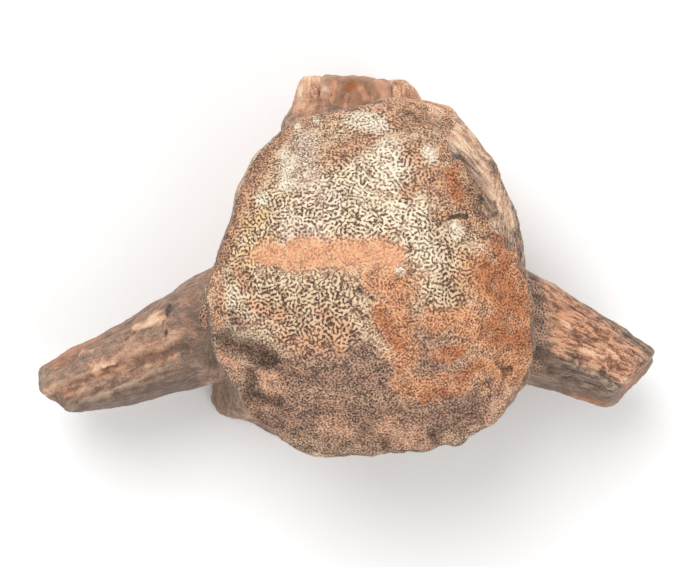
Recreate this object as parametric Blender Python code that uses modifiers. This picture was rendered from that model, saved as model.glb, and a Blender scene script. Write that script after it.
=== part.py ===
"""A mosasaur's tail vertebra, as a fossil: a still, life-size bone that lies on its front end.

The frame is in metres. +Z points to the animal's tail, so the domed rear face is on top and the
bone rests on the rim of its hollow front face. +Y points to the animal's back and +X to its right.
The origin is under the middle of the bone, on the surface that it lies on.
"""

import math

import bmesh
import bpy
from mathutils import Matrix, Vector, noise

# The body of the vertebra, from the front rim to the top of the rear dome.
CENTRUM_LENGTH = 0.076
DOME_RISE = 0.0150
DISH_DEPTH = 0.0105
WAIST_DEPTH = 0.135         # share of the reach that the sides pull in, half way along
DISH_EDGE = 0.93            # where the hollow ends and the front lip begins, as a share of the reach
LIP_SINK = 0.0006           # how far the front lip reaches below the floor before it is worn flat
LIP_LENGTH = 0.07           # share of the side that rounds the lip
DISH_POWER = 2.2            # higher makes the hollow flatter in the middle
DOME_POWERS = (2.3, 0.72)   # a round cap has 2 and 0.5
MARGIN_HEIGHT = CENTRUM_LENGTH - DOME_RISE

# How far each end reaches from the body's axis, every 22.5 degrees from +X towards +Y.
REAR_REACH = (
    0.0394, 0.0405, 0.0434, 0.0480, 0.0446, 0.0438, 0.0412, 0.0375,
    0.0389, 0.0410, 0.0420, 0.0439, 0.0414, 0.0442, 0.0468, 0.0440,
)
FRONT_REACH = (
    0.0430, 0.0442, 0.0472, 0.0505, 0.0420, 0.0448, 0.0430, 0.0408,
    0.0430, 0.0478, 0.0505, 0.0478, 0.0448, 0.0480, 0.0520, 0.0480,
)
FRONT_CORNER_ANGLE = math.radians(220)
FRONT_CORNER_HALF_ANGLE = math.radians(14)
FRONT_CORNER_RISE = 0.0042  # how far the corner of the front rim stands out there

# Wear of the rear face: a bevel along the upper right, and a breach at the lower left.
BEVEL_MIDDLE = math.radians(40)
BEVEL_HALF_ANGLE = math.radians(48)
BEVEL_DROP = 0.0090
BEVEL_START = 0.76          # share of the reach
BREACH_CENTRE = Vector((-0.0285, -0.0215))
BREACH_RADIUS = 0.0110
BREACH_DEPTH = 0.0024

# Unevenness: how high and how long the lumps are, and the chips of the rear margin.
LUMPS = ((0.0007, 0.011), (0.0004, 0.0045))
CHIPS = (0.0011, 0.0065)

# Marks on top of the bone, as strokes seen from above: start, end, width, and height.
MARKS = {
    "edge above the hollow": ((-0.0340, -0.0109), (-0.0282, -0.0135), 0.0020, 0.0007),
    "eroded hollow": ((-0.0340, -0.0141), (-0.0254, -0.0175), 0.0024, -0.0018),
    "deep end of the hollow": ((-0.0251, -0.0172), (-0.0232, -0.0179), 0.0016, -0.0014),
    "ledge under the hollow": ((-0.0254, -0.0219), (-0.0230, -0.0247), 0.0024, 0.0009),
    "foot of the ledge": ((-0.0268, -0.0271), (-0.0211, -0.0274), 0.0014, -0.0012),
    "left upper ridge": ((-0.0432, -0.0045), (-0.0712, -0.0175), 0.0016, 0.0009),
    "left channel": ((-0.0452, -0.0155), (-0.0752, -0.0265), 0.0018, -0.0011),
    "left lower ridge": ((-0.0492, -0.0205), (-0.0772, -0.0320), 0.0016, 0.0011),
    "right upper ridge": ((0.0418, -0.0035), (0.0588, -0.0115), 0.0018, 0.0009),
    "right groove": ((0.0458, -0.0218), (0.0608, -0.0282), 0.0017, -0.0014),
    "right lower ridge": ((0.0448, -0.0241), (0.0608, -0.0310), 0.0014, 0.0008),
    "chipped lower right": ((0.0168, -0.0365), (0.0268, -0.0330), 0.0020, -0.0012),
}
MARK_SLOPE = 0.3            # height of the normal from which a mark is pressed in full

# The side processes: the course of the middle line, then half the height and half the width there.
LEFT_COURSE = ((-0.022, -0.0022, 0.032), (-0.0402, -0.0110, 0.031), (-0.0587, -0.0193, 0.029),
               (-0.0764, -0.0252, 0.027), (-0.0876, -0.0256, 0.026))
LEFT_HALF_HEIGHT = (0.0157, 0.0133, 0.0107, 0.0081, 0.0040)
LEFT_HALF_WIDTH = (0.0230, 0.0200, 0.0160, 0.0130, 0.0090)
RIGHT_COURSE = ((0.024, -0.0038, 0.032), (0.0444, -0.0131, 0.031), (0.0540, -0.0174, 0.030),
                (0.0625, -0.0215, 0.029), (0.0800, -0.0304, 0.028))
RIGHT_HALF_HEIGHT = (0.0156, 0.0124, 0.0108, 0.0098, 0.0085)
RIGHT_HALF_WIDTH = (0.0230, 0.0195, 0.0175, 0.0160, 0.0135)
RIGHT_BREAK_POINT = Vector((0.0692, -0.0246, 0.028))
RIGHT_BREAK_NORMAL = Vector((0.72, -0.66, 0.22))
LEFT_BREAK_POINT = Vector((-0.0848, -0.0266, 0.026))
LEFT_BREAK_NORMAL = Vector((-0.97, -0.12, 0.22))
LEFT_CORNER_POINT = Vector((-0.0809, -0.0300, 0.026))
LEFT_CORNER_NORMAL = Vector((-0.50, -0.86, 0.10))
SQUARENESS = 2.7            # of a process's section: 2 is an oval
# The long ridges of a process: how many there are, and their height, start and twist.
RIDGES = ((4, 0.045, 0.8, 1.5), (7, 0.030, 0.0, -3.0))
PROCESS_LUMP = (0.0007, 0.007)

# What is left of the arch over the spinal cord: two broken walls on a low base.
ARCH_MIDDLE_X = -0.0025
ARCH_FRONT = 0.009
ARCH_REAR = 0.046
ARCH_TOP = 0.0525
ARCH_HALF_WIDTH = 0.0166
WALL_FOOT = 0.030
WALL_INSIDE = 0.004         # how far from the middle each wall starts, before the channel is cut
BASE_FOOT = 0.024
BASE_TOP = 0.0455
BASE_SPREAD = (0.003, 0.005)
BASE_OVERHANG = (0.002, 0.003)   # how far the base runs past the walls, in front and behind
RIGHT_WALL_SET_BACK = 0.002
WALL_SQUARENESS = (9, 5)    # of the left and the right wall: higher has sharper corners
BASE_SQUARENESS = 5
LEFT_WALL_BREAK = (Vector((-0.0180, 0.0485, 0.03)), Vector((-0.95, 0.30, 0)))
RIGHT_WALL_BREAK = (Vector((0.0126, 0.0489, 0.03)), Vector((0.75, 0.66, 0)))
ROCK_BREAK = (Vector((-0.0056, 0.0522, 0.03)), Vector((0.19, 0.98, 0)))
ARCH_ROUGH = (0.0011, 0.0055)
CANAL_HALF_WIDTH = 0.0074
CANAL_FLOOR = 0.0405
CANAL_HALF_HEIGHT = 0.0085
PLUG_GAP = 0.0003           # between the rock fill and the bone
PLUG_TOP = 0.0524
PLUG_FRONT = 0.011
PLUG_REAR = 0.0445
PLUG_TRIM = 0.0008          # broken off each end
CANAL_BEND = 0.0006
CANAL_BEND_LENGTH = 0.009

# How fine the solids are.
VOXEL = 0.0009
SMOOTHING_ROUNDS = 4
BONE_TRIANGLES = 7400
SHARP_ANGLE = math.radians(40)
SEED = 7.3

# The solid that wears the lip flat, where the bone lies.
FLOOR_DEPTH = 0.02
FLOOR_SPAN = 0.4

BONE_COLOUR = (0.42, 0.27, 0.18)
ROCK_COLOUR = (0.40, 0.23, 0.15)


def clear_scene():
    for obj in list(bpy.data.objects):
        bpy.data.objects.remove(obj)


def make_collection(name, hidden):
    collection = bpy.data.collections.new(name)
    collection.hide_render = hidden
    bpy.context.scene.collection.children.link(collection)
    return collection


def give_material(obj, name, colour, roughness):
    material = bpy.data.materials.new(name)
    material.use_nodes = True
    shader = material.node_tree.nodes["Principled BSDF"]
    shader.inputs["Base Color"].default_value = (*colour, 1)
    shader.inputs["Roughness"].default_value = roughness
    shader.inputs["Metallic"].default_value = 0
    material.diffuse_color = (*colour, 1)
    obj.data.materials.clear()
    obj.data.materials.append(material)


def object_from(bm, name, collection):
    mesh = bpy.data.meshes.new(name)
    bmesh.ops.recalc_face_normals(bm, faces=bm.faces)
    bm.to_mesh(mesh)
    bm.free()
    obj = bpy.data.objects.new(name, mesh)
    collection.objects.link(obj)
    return obj


def ease(x):
    """0 below 0, 1 above 1, and smooth between."""
    x = min(1.0, max(0.0, x))
    return x * x * (3 - 2 * x)


def mix(a, b, share):
    return a + (b - a) * share


def along(values, share):
    """The value at a share of the way through evenly spaced values, on a smooth curve through them."""
    last = len(values) - 1
    place = min(max(share, 0.0), 1.0) * last
    i = min(int(place), last - 1)
    f = place - i
    before, a, b, after = (values[min(max(i + k, 0), last)] for k in (-1, 0, 1, 2))
    return a + 0.5 * f * (b - before + f * (2 * before - 5 * a + 4 * b - after
                                            + f * (3 * (a - b) + after - before)))


def reach(outline, angle):
    """How far a closed outline reaches at an angle."""
    n = len(outline)
    share = (angle / (2 * math.pi)) % 1.0
    wrapped = [*outline[-2:], *outline, *outline[:3]]
    return along(wrapped, (2 + share * n) / (len(wrapped) - 1))


def turned(angle, other):
    """How far apart two directions are."""
    return abs((angle - other + math.pi) % (2 * math.pi) - math.pi)


def roughness_at(point, size, shift=1):
    """Smooth noise from -1 to 1, with lumps of about this size."""
    return noise.noise(Vector(point) / size + Vector((1, -1, 0.5)) * SEED * shift)


def turn_from_pole(point):
    """How far up a unit ball a point is, from 0 at the lower pole to 1 at the upper one."""
    return math.acos(max(-1.0, min(1.0, -point.z))) / math.pi


def meridian(t):
    """The body's side view, from the middle of the hollow front (t 0) to the top of the dome (t 1).

    Gives the share of the reach, the height, and the share of the way from the front outline to the rear one.
    """
    dish_ends, dome_starts = 0.22, 0.62
    if t < dish_ends:
        s = t / dish_ends
        return DISH_EDGE * s, DISH_DEPTH * (1 - s ** DISH_POWER) - LIP_SINK * s, 0.0
    if t < dome_starts:
        s = (t - dish_ends) / (dome_starts - dish_ends)
        waist = WAIST_DEPTH * math.sin(math.pi * s) ** 1.25
        climb = mix(s, ease(s), 0.35)
        share = mix(DISH_EDGE, 1 - waist, ease(s / LIP_LENGTH))
        return share, mix(-LIP_SINK, MARGIN_HEIGHT, climb), ease(s)
    s = 1 - (t - dome_starts) / (1 - dome_starts)
    return s, MARGIN_HEIGHT + DOME_RISE * (1 - s ** DOME_POWERS[0]) ** DOME_POWERS[1], 1.0


def bevel_drop(angle, share):
    """How far the worn upper right of the rear face has come down."""
    within = ease(1.25 * (1 - turned(angle, BEVEL_MIDDLE) / BEVEL_HALF_ANGLE))
    outward = max(0.0, (share - BEVEL_START) / (1 - BEVEL_START))
    return BEVEL_DROP * within * outward ** 1.6


def breach_drop(point):
    """How far the broken lower left of the rear face has sunk."""
    away = (point.xy - BREACH_CENTRE).length / BREACH_RADIUS
    return BREACH_DEPTH * ease(2.2 * (1 - away))


def make_body(collection):
    """The spool-shaped body: a ball whose rows follow the side view and whose columns follow the outlines."""
    bm = bmesh.new()
    bmesh.ops.create_uvsphere(bm, u_segments=128, v_segments=96, radius=1)
    for vert in bm.verts:
        angle = math.atan2(vert.co.y, vert.co.x)
        share, height, rear = meridian(turn_from_pole(vert.co))
        corner = FRONT_CORNER_RISE * ease(1 - turned(angle, FRONT_CORNER_ANGLE) / FRONT_CORNER_HALF_ANGLE)
        far = mix(reach(FRONT_REACH, angle) + corner, reach(REAR_REACH, angle), rear)
        point = Vector((math.cos(angle), math.sin(angle), 0)) * far * share
        point.z = height
        on_rear_face = ease(4 * height / MARGIN_HEIGHT - 3)
        point.z -= on_rear_face * (bevel_drop(angle, share) + breach_drop(point))
        lumps = sum(high * roughness_at(point, long) for high, long in LUMPS)
        chips = CHIPS[0] * ease(5 * share - 4) * roughness_at(point, CHIPS[1], 2)
        point.xy *= 1 + (lumps + chips) / far
        near_lip = ease(8 * (share - 0.86)) * (height < DISH_DEPTH)
        point.z += lumps * (1 - near_lip)
        vert.co = point
    return object_from(bm, "body", collection)


def make_process(name, course, half_height, half_width, collection):
    """One side process: a ball drawn out along its course, with a rounded four-sided section and long ridges."""
    points = [Vector(p) for p in course]
    bm = bmesh.new()
    bmesh.ops.create_uvsphere(bm, u_segments=56, v_segments=60, radius=1)
    for vert in bm.verts:
        t, turn = turn_from_pole(vert.co), math.atan2(vert.co.y, vert.co.x)
        c, s = math.cos(turn), math.sin(turn)
        forward = (along(points, t + 0.01) - along(points, t - 0.01)).normalized()
        up = (Vector((0, 1, 0)) - forward * forward.y).normalized()
        side = forward.cross(up)
        across = side * along(half_width, t) * c + up * along(half_height, t) * s
        ends = (1 - abs(2 * t - 1) ** 9) ** 0.5
        square = (abs(c) ** SQUARENESS + abs(s) ** SQUARENESS) ** (-1 / SQUARENESS)
        ridges = 1 + sum(high * math.cos(n * turn + start + twist * t) for n, high, start, twist in RIDGES)
        vert.co = along(points, t) + across * ends * square * ridges
        vert.co += across.normalized() * ends * PROCESS_LUMP[0] * roughness_at(vert.co, PROCESS_LUMP[1])
    return object_from(bm, name, collection)


def break_off(obj, point, normal):
    """Cuts away what lies beyond a rough plane, as where a process has snapped."""
    bm = bmesh.new()
    bm.from_mesh(obj.data)
    everything = [*bm.verts, *bm.edges, *bm.faces]
    cut = bmesh.ops.bisect_plane(bm, geom=everything, plane_co=point, plane_no=normal, clear_outer=True)
    edges = [e for e in cut["geom_cut"] if isinstance(e, bmesh.types.BMEdge)]
    bmesh.ops.contextual_create(bm, geom=edges)
    bmesh.ops.recalc_face_normals(bm, faces=bm.faces)
    bm.to_mesh(obj.data)
    bm.free()


def make_block(name, low, high, collection, roundness, rough=ARCH_ROUGH, cuts=11):
    """A rounded block between two corners, with rough faces."""
    bm = bmesh.new()
    bmesh.ops.create_cube(bm, size=2)
    bmesh.ops.subdivide_edges(bm, edges=bm.edges, cuts=cuts, use_grid_fill=True)
    low, high = Vector(low), Vector(high)
    for vert in bm.verts:
        length = sum(abs(a) ** roundness for a in vert.co) ** (1 / roundness)
        unit = vert.co / length
        point = Vector(mix(low[i], high[i], (unit[i] + 1) / 2) for i in range(3))
        vert.co = point + unit.normalized() * rough[0] * roughness_at(point, rough[1])
    return object_from(bm, name, collection)


def make_arch(collection):
    """The stump of the arch: a low base and the two broken walls at its sides."""
    left, right = ARCH_MIDDLE_X - ARCH_HALF_WIDTH, ARCH_MIDDLE_X + ARCH_HALF_WIDTH
    make_block("arch_base", (left - BASE_SPREAD[0], BASE_FOOT, ARCH_FRONT - BASE_OVERHANG[0]),
               (right + BASE_SPREAD[1], BASE_TOP, ARCH_REAR + BASE_OVERHANG[1]), collection, BASE_SQUARENESS)
    wall = make_block("wall_left", (left, WALL_FOOT, ARCH_FRONT),
                      (ARCH_MIDDLE_X - WALL_INSIDE, ARCH_TOP, ARCH_REAR), collection, WALL_SQUARENESS[0])
    break_off(wall, *LEFT_WALL_BREAK)
    wall = make_block("wall_right", (ARCH_MIDDLE_X + WALL_INSIDE, WALL_FOOT, ARCH_FRONT + RIGHT_WALL_SET_BACK),
                      (right, ARCH_TOP, ARCH_REAR - RIGHT_WALL_SET_BACK), collection, WALL_SQUARENESS[1])
    break_off(wall, *RIGHT_WALL_BREAK)


def make_canal(name, grow, front, rear, collection):
    """The channel of the spinal cord, as a solid that is grown by this much on every side."""
    bm = bmesh.new()
    bmesh.ops.create_cone(bm, cap_ends=True, segments=22, radius1=1, radius2=1, depth=1)
    lengthwise = [e for e in bm.edges if abs(e.verts[0].co.z - e.verts[1].co.z) > 0.5]
    bmesh.ops.subdivide_edges(bm, edges=lengthwise, cuts=7)
    middle_y = CANAL_FLOOR + CANAL_HALF_HEIGHT
    for vert in bm.verts:
        z = mix(front, rear, vert.co.z + 0.5)
        bend = CANAL_BEND * math.sin(z / CANAL_BEND_LENGTH)
        vert.co = (ARCH_MIDDLE_X + bend + vert.co.x * (CANAL_HALF_WIDTH + grow),
                   middle_y + vert.co.y * (CANAL_HALF_HEIGHT + grow), z)
    return object_from(bm, name, collection)


def make_box(name, low, high, collection):
    bm = bmesh.new()
    bmesh.ops.create_cube(bm, size=1)
    for vert in bm.verts:
        vert.co = [mix(low[i], high[i], vert.co[i] + 0.5) for i in range(3)]
    return object_from(bm, name, collection)


def bake(obj):
    """Applies every modifier of an object."""
    bpy.context.view_layer.update()
    graph = bpy.context.evaluated_depsgraph_get()
    made = bpy.data.meshes.new_from_object(obj.evaluated_get(graph))
    obj.modifiers.clear()
    obj.data = made


def boolean(obj, operation, other=None, collection=None):
    modifier = obj.modifiers.new(operation.lower(), "BOOLEAN")
    modifier.operation = operation
    modifier.solver = "EXACT"
    if collection:
        modifier.operand_type = "COLLECTION"
        modifier.collection = collection
    else:
        modifier.object = other
    bake(obj)


def keep_largest(obj):
    """Keeps only the largest closed surface of a mesh."""
    bm = bmesh.new()
    bm.from_mesh(obj.data)
    left, shells = set(bm.faces), []
    while left:
        shell, todo = set(), [left.pop()]
        while todo:
            face = todo.pop()
            shell.add(face)
            near = {f for e in face.edges for f in e.link_faces} & left
            left -= near
            todo.extend(near)
        shells.append(shell)
    largest = max(shells, key=len)
    bmesh.ops.delete(bm, geom=[f for f in bm.faces if f not in largest], context="FACES")
    bm.to_mesh(obj.data)
    bm.free()


def away_from(point, start, end):
    """How far a point is from a stroke, seen from above."""
    start, line = Vector(start), Vector(end) - Vector(start)
    share = (point.xy - start).dot(line) / line.length_squared
    return (point.xy - start - line * min(1.0, max(0.0, share))).length


def press_marks(obj):
    normals = [vert.normal.copy() for vert in obj.data.vertices]
    for vert, normal in zip(obj.data.vertices, normals):
        if normal.z > 0:
            rise = sum(height * math.exp(-(away_from(vert.co, start, end) / width) ** 2)
                       for start, end, width, height in MARKS.values())
            vert.co += normal * rise * ease(normal.z / MARK_SLOPE)


def soften(obj):
    """Fuses a mesh into one even skin, rounds its creases, presses its marks, and thins it."""
    remesh = obj.modifiers.new("fuse", "REMESH")
    remesh.mode = "VOXEL"
    remesh.voxel_size = VOXEL
    smooth = obj.modifiers.new("round", "SMOOTH")
    smooth.factor = 0.5
    smooth.iterations = SMOOTHING_ROUNDS
    bake(obj)
    keep_largest(obj)
    press_marks(obj)
    thin = obj.modifiers.new("thin", "DECIMATE")
    thin.ratio = BONE_TRIANGLES / (2 * len(obj.data.polygons))
    bake(obj)


def make_bone(pieces, cutters):
    bone = make_body(bpy.context.scene.collection)
    bone.name = "vertebra"
    left = make_process("process_left", LEFT_COURSE, LEFT_HALF_HEIGHT, LEFT_HALF_WIDTH, pieces)
    break_off(left, LEFT_BREAK_POINT, LEFT_BREAK_NORMAL)
    break_off(left, LEFT_CORNER_POINT, LEFT_CORNER_NORMAL)
    right = make_process("process_right", RIGHT_COURSE, RIGHT_HALF_HEIGHT, RIGHT_HALF_WIDTH, pieces)
    break_off(right, RIGHT_BREAK_POINT, RIGHT_BREAK_NORMAL)
    make_arch(pieces)
    boolean(bone, "UNION", collection=pieces)
    for obj in list(pieces.objects):
        bpy.data.objects.remove(obj)
    soften(bone)
    half = FLOOR_SPAN / 2
    floor = make_box("floor_cut", (-half, -half, -FLOOR_DEPTH), (half, half, 0), cutters)
    boolean(bone, "DIFFERENCE", floor)
    groove = make_canal("groove", PLUG_GAP, -ARCH_FRONT, PLUG_REAR + PLUG_TRIM, cutters)
    boolean(bone, "DIFFERENCE", groove)
    keep_largest(bone)
    return bone


def make_plug(cutters):
    """The rock that fills the channel, as its own solid with a gap to the bone all round."""
    plug = make_canal("canal_matrix", 0.0, PLUG_FRONT, PLUG_REAR, bpy.context.scene.collection)
    half, foot = 1.3 * CANAL_HALF_WIDTH, CANAL_FLOOR - 0.2 * CANAL_HALF_HEIGHT
    low = (ARCH_MIDDLE_X - half, foot, PLUG_FRONT + PLUG_TRIM)
    high = (ARCH_MIDDLE_X + half, PLUG_TOP, PLUG_REAR - PLUG_TRIM)
    rough = make_block("rough_top", low, high, cutters, 8, cuts=7)
    boolean(plug, "INTERSECT", rough)
    break_off(plug, *ROCK_BREAK)
    keep_largest(plug)
    return plug


def finish(objects, collection):
    """Moves the solids over the origin, and gives each its smooth shading and its place."""
    corners = [obj.matrix_world @ Vector(c) for obj in objects for c in obj.bound_box]
    low = [min(c[i] for c in corners) for i in range(3)]
    high = [max(c[i] for c in corners) for i in range(3)]
    to_origin = Matrix.Translation((-(low[0] + high[0]) / 2, -(low[1] + high[1]) / 2, -low[2]))
    for obj in objects:
        obj.data.transform(to_origin)
        bpy.context.scene.collection.objects.unlink(obj)
        collection.objects.link(obj)
        for polygon in obj.data.polygons:
            polygon.use_smooth = True
        obj.data.set_sharp_from_angle(angle=SHARP_ANGLE)
    print("size in mm:", [round(1000 * (high[i] - low[i]), 1) for i in range(3)])
    print("body axis at:", [round(1000 * to_origin.translation[i], 1) for i in range(2)])


def main():
    clear_scene()
    model = make_collection("mosasaur_vertebra", False)
    cutters = make_collection("cutters", True)
    pieces = make_collection("pieces", True)
    bone = make_bone(pieces, cutters)
    plug = make_plug(cutters)
    for cutter in cutters.objects:
        cutter.display_type = "WIRE"
        cutter.hide_render = True
    give_material(bone, "fossil_bone", BONE_COLOUR, 0.75)
    give_material(plug, "canal_rock", ROCK_COLOUR, 0.9)
    finish([bone, plug], model)


main()
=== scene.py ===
# %% [markdown]
# # A fossil mosasaur vertebra
#
# This lesson dresses one bone from the base of a mosasaur's tail. It lies on its hollow front end,
# as such a heavy bone would on a museum table, so its domed rear face looks straight up.
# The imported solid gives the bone's true size and outline. We keep that outline and give it the
# skin of a real fossil: a granular joint surface, ridged side processes, broken edges and stains.

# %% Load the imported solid
import math

import bmesh
import bpy
import numpy as np
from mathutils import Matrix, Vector, noise


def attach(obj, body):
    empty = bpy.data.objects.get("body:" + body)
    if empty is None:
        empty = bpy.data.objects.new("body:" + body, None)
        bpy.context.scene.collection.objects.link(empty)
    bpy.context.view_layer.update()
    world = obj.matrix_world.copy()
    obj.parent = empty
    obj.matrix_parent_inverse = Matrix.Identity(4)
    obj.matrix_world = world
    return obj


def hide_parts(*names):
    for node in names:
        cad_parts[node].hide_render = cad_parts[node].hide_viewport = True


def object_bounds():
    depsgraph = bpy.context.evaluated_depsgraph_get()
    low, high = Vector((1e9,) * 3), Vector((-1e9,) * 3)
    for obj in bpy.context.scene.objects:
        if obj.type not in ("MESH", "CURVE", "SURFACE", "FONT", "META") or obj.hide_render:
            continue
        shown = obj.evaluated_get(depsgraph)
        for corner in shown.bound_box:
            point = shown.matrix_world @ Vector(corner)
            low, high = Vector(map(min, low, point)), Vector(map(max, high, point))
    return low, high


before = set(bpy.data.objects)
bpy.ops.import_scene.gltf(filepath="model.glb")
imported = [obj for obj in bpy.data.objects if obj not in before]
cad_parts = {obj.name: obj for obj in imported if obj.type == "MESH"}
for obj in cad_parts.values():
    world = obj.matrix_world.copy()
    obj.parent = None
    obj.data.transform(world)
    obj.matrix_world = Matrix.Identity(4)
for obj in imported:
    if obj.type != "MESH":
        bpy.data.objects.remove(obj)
CAD_BOX = [[float(c) for c in corner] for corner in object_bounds()]
MM = 0.001
BODY_AXIS = np.array([5.2, -4.45]) * MM      # where the body's long axis meets the floor
FACE_LEVEL = 62 * MM                         # height of the rear face's margin
print("box of the solids, in mm:", [[round(c / MM, 1) for c in corner] for corner in CAD_BOX])

# %% [markdown]
# ## Camera, floor and light
#
# The picture looks straight at the rear face, with the animal's back at the top. A long lens from
# half a metre keeps the face large and the side processes, which lie lower, a little smaller.
# The light is a large soft one from beyond the bone's back, low enough to draw out the granules,
# with a weaker one from the near side and a pale sky all round.

# %% Camera
CAMERA_RISE = 467 * MM                       # above the margin of the face
CAMERA_OFFSET = np.array([-4.3, 0.4]) * MM   # from the body's axis

camera_data = bpy.data.cameras.new("camera")
camera_data.lens = 100
camera_data.sensor_width = 36
camera_data.clip_start = 0.01
camera = bpy.data.objects.new("camera", camera_data)
camera.location = (*(BODY_AXIS + CAMERA_OFFSET), FACE_LEVEL + CAMERA_RISE)
bpy.context.scene.collection.objects.link(camera)
bpy.context.scene.camera = camera
print("camera at", [round(c, 3) for c in camera.location])


# %% Helpers for node trees
def linear(red, green, blue):
    """A colour picked on a screen, as the linear values that a shader takes."""
    return (*(((c / 255 + 0.055) / 1.055) ** 2.4 if c > 10 else c / 255 / 12.92
              for c in (red, green, blue)), 1.0)


def add(tree, kind, *values, out=0, **settings):
    """Adds a node, fills its sockets in order, and gives back one of its outputs."""
    made = tree.nodes.new(kind)
    for key, value in settings.items():
        setattr(made, key, value)
    for socket, value in zip([s for s in made.inputs if s.enabled], values):
        if isinstance(value, bpy.types.NodeSocket):
            tree.links.new(value, socket)
        elif value is not None:
            socket.default_value = value
    return [s for s in made.outputs if s.enabled][out]


def calc(tree, operation, a, b=0.0, c=0.0):
    return add(tree, "ShaderNodeMath", a, b, c, operation=operation)


def ease(tree, value, low, high, start=0.0, end=1.0):
    """Goes smoothly from start to end while the value goes from low to high."""
    return add(tree, "ShaderNodeMapRange", value, low, high, start, end,
               interpolation_type="SMOOTHSTEP")


def grain(tree, point, size, detail=0.0, roughness=0.5, distortion=0.0, out=0):
    """Smooth noise from 0 to 1 with lumps of this size, in metres."""
    return add(tree, "ShaderNodeTexNoise", point, 1 / size, detail, roughness, 2.0, distortion,
               out=out)


def stretched(tree, point, factors):
    return add(tree, "ShaderNodeVectorMath", point, factors, operation="MULTIPLY")


def shaken(tree, point, size, reach):
    """The point, moved about smoothly, so that a pattern made there isn't regular."""
    shift = grain(tree, point, size, 1.0, out=1)
    shift = add(tree, "ShaderNodeVectorMath", shift, (0.5, 0.5, 0.5), operation="SUBTRACT")
    shift = stretched(tree, shift, (reach, reach, reach))
    return add(tree, "ShaderNodeVectorMath", point, shift, operation="ADD")


# %% Floor and light
FLOOR_HALF_WIDTH = 3
SKY_STRENGTH = 0.70


def plain_material(name, colour, roughness):
    material = bpy.data.materials.new(name)
    material.use_nodes = True
    shader = material.node_tree.nodes["Principled BSDF"]
    shader.inputs["Base Color"].default_value = colour
    shader.inputs["Roughness"].default_value = roughness
    return material


def finished(bm, name, material=None):
    """Makes a bmesh an object at the origin."""
    mesh = bpy.data.meshes.new(name)
    bm.to_mesh(mesh)
    bm.free()
    made = bpy.data.objects.new(name, mesh)
    bpy.context.scene.collection.objects.link(made)
    if material:
        mesh.materials.append(material)
    return made


bm = bmesh.new()
bmesh.ops.create_grid(bm, x_segments=1, y_segments=1, size=FLOOR_HALF_WIDTH)
floor = finished(bm, "floor", plain_material("paper", (0.95, 0.95, 0.95, 1), 0.9))


def soft_light(name, place, size, watts):
    """A white disc of light that faces the middle of the bone's rear face."""
    data = bpy.data.lights.new(name, "AREA")
    data.shape = "DISK"
    data.size = size
    data.energy = watts
    light = bpy.data.objects.new(name, data)
    light.location = place
    target = np.array([*BODY_AXIS, FACE_LEVEL])
    toward = target - np.array(place)
    light.rotation_euler = (math.atan2(math.hypot(toward[0], toward[1]), -toward[2]), 0,
                            math.atan2(toward[0], -toward[1]) + math.pi)
    bpy.context.scene.collection.objects.link(light)


soft_light("key", (-0.30, 0.62, 1.25), 0.90, 10.8)
soft_light("fill", (0.50, -0.60, 1.10), 0.80, 3.0)
world = bpy.data.worlds.new("studio")
world.use_nodes = True
world.node_tree.nodes["Background"].inputs["Color"].default_value = (1, 1, 1, 1)
world.node_tree.nodes["Background"].inputs["Strength"].default_value = SKY_STRENGTH
bpy.context.scene.world = world
bpy.context.scene.view_settings.view_transform = "Standard"

# %% [markdown]
# ## The bone's form
#
# The solid is faceted, as a design should be. A voxel remesh gives it an even skin of small
# squares, and smoothing takes the facets away. We then press and raise named marks in it, as a
# sculptor would: each mark is a short stroke seen from above, with a width and a height.


# %% Helpers for meshes
def merged_copy(node_name, name):
    """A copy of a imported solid, with its loose triangles joined."""
    bm = bmesh.new()
    bm.from_mesh(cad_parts[node_name].data)
    bmesh.ops.remove_doubles(bm, verts=bm.verts, dist=0.002 * MM)
    return finished(bm, name)


def bake(obj):
    """Applies an object's modifiers."""
    graph = bpy.context.evaluated_depsgraph_get()
    made = bpy.data.meshes.new_from_object(obj.evaluated_get(graph))
    obj.modifiers.clear()
    old, obj.data = obj.data, made
    bpy.data.meshes.remove(old)


def reskin(obj, voxel, rounds):
    """An even skin of small squares, with its facets smoothed away."""
    remesh = obj.modifiers.new("reskin", "REMESH")
    remesh.mode = "VOXEL"
    remesh.voxel_size = voxel
    smooth = obj.modifiers.new("smooth", "SMOOTH")
    smooth.factor = 0.5
    smooth.iterations = rounds
    bake(obj)


def points_of(obj):
    """The vertices' places and normals, as two arrays."""
    n = len(obj.data.vertices)
    places, normals = np.empty(3 * n), np.empty(3 * n)
    obj.data.vertices.foreach_get("co", places)
    obj.data.vertex_normals.foreach_get("vector", normals)
    return places.reshape(n, 3), normals.reshape(n, 3)


def place_points(obj, places):
    obj.data.vertices.foreach_set("co", places.ravel())
    obj.data.update()


def smoothstep(x):
    x = np.clip(x, 0, 1)
    return x * x * (3 - 2 * x)


def smoother_copy(obj, rounds):
    """The places and normals of a smoother version of the mesh."""
    copy = obj.copy()
    copy.data = obj.data.copy()
    bpy.context.scene.collection.objects.link(copy)
    smooth = copy.modifiers.new("smooth", "SMOOTH")
    smooth.iterations = rounds
    bake(copy)
    result = points_of(copy)
    bpy.data.objects.remove(copy)
    return result


# %% The base form
SIDE_VOXEL = 0.82 * MM
CAP_VOXEL = 0.90 * MM                        # later cut into squares a third as wide

bone = merged_copy("vertebra", "bone_skin")
reskin(bone, SIDE_VOXEL, 10)
cap = merged_copy("vertebra", "joint_surface")
reskin(cap, CAP_VOXEL, 9)
print("bone skin:", len(bone.data.vertices), "vertices")

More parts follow.
